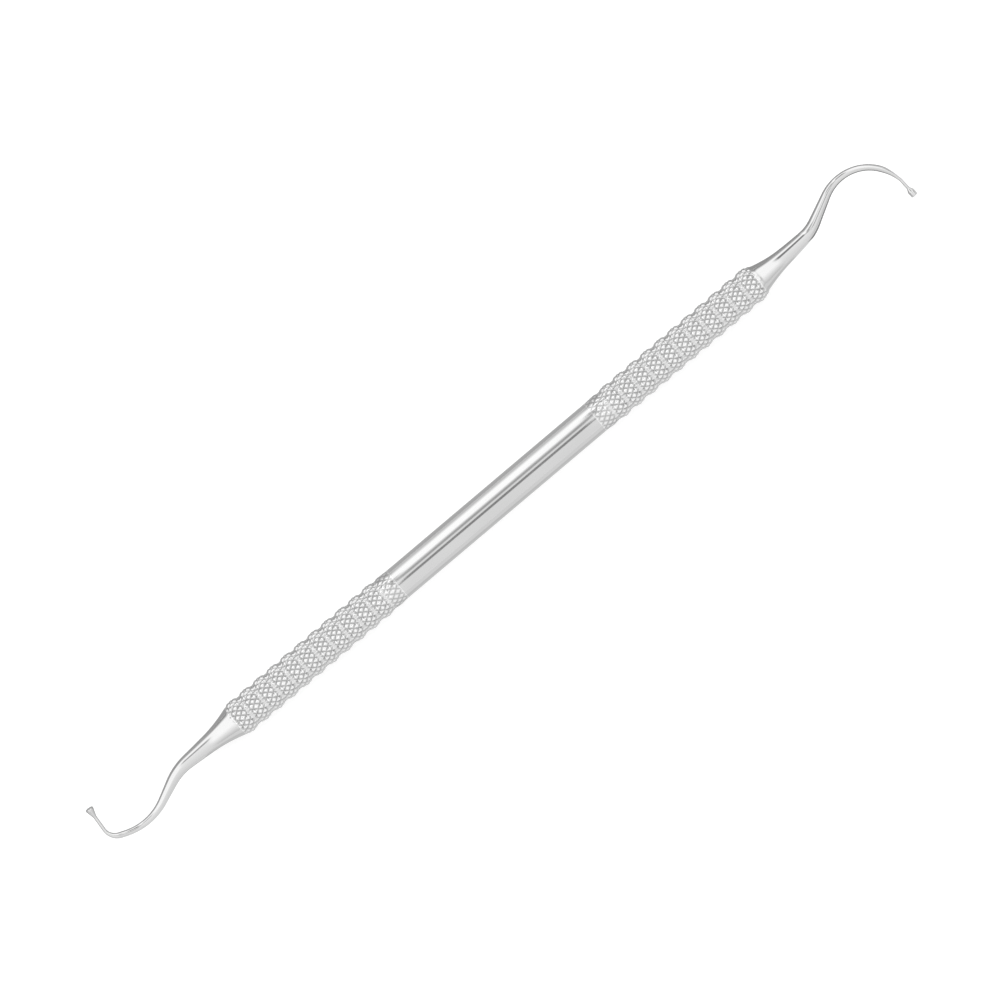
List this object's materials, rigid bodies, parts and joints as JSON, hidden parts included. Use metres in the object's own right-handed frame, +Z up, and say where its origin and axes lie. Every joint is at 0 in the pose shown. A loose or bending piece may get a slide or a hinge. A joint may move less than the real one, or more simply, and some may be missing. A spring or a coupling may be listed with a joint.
{
  "type": "dental plugger",
  "caption": "One-piece steel dental plugger: smooth waist, beaded diamond-knurled grips, and at each end a bent tapering shank that flares into a flat-faced head.",
  "frame": {"origin": "middle of the instrument's bounding box, at the height of the table it lies on", "axes": "+X along the handle toward the arched end, +Y to the side the cranked end's tip points to, +Z up from the table"},
  "size_m": [0.1748, 0.0106, 0.0064],
  "materials": {
    "steel": "polished on the waist and shanks, satin in the knurl"
  },
  "bodies": {
    "root": {"plugger": "steel"}
  },
  "joints": []
}
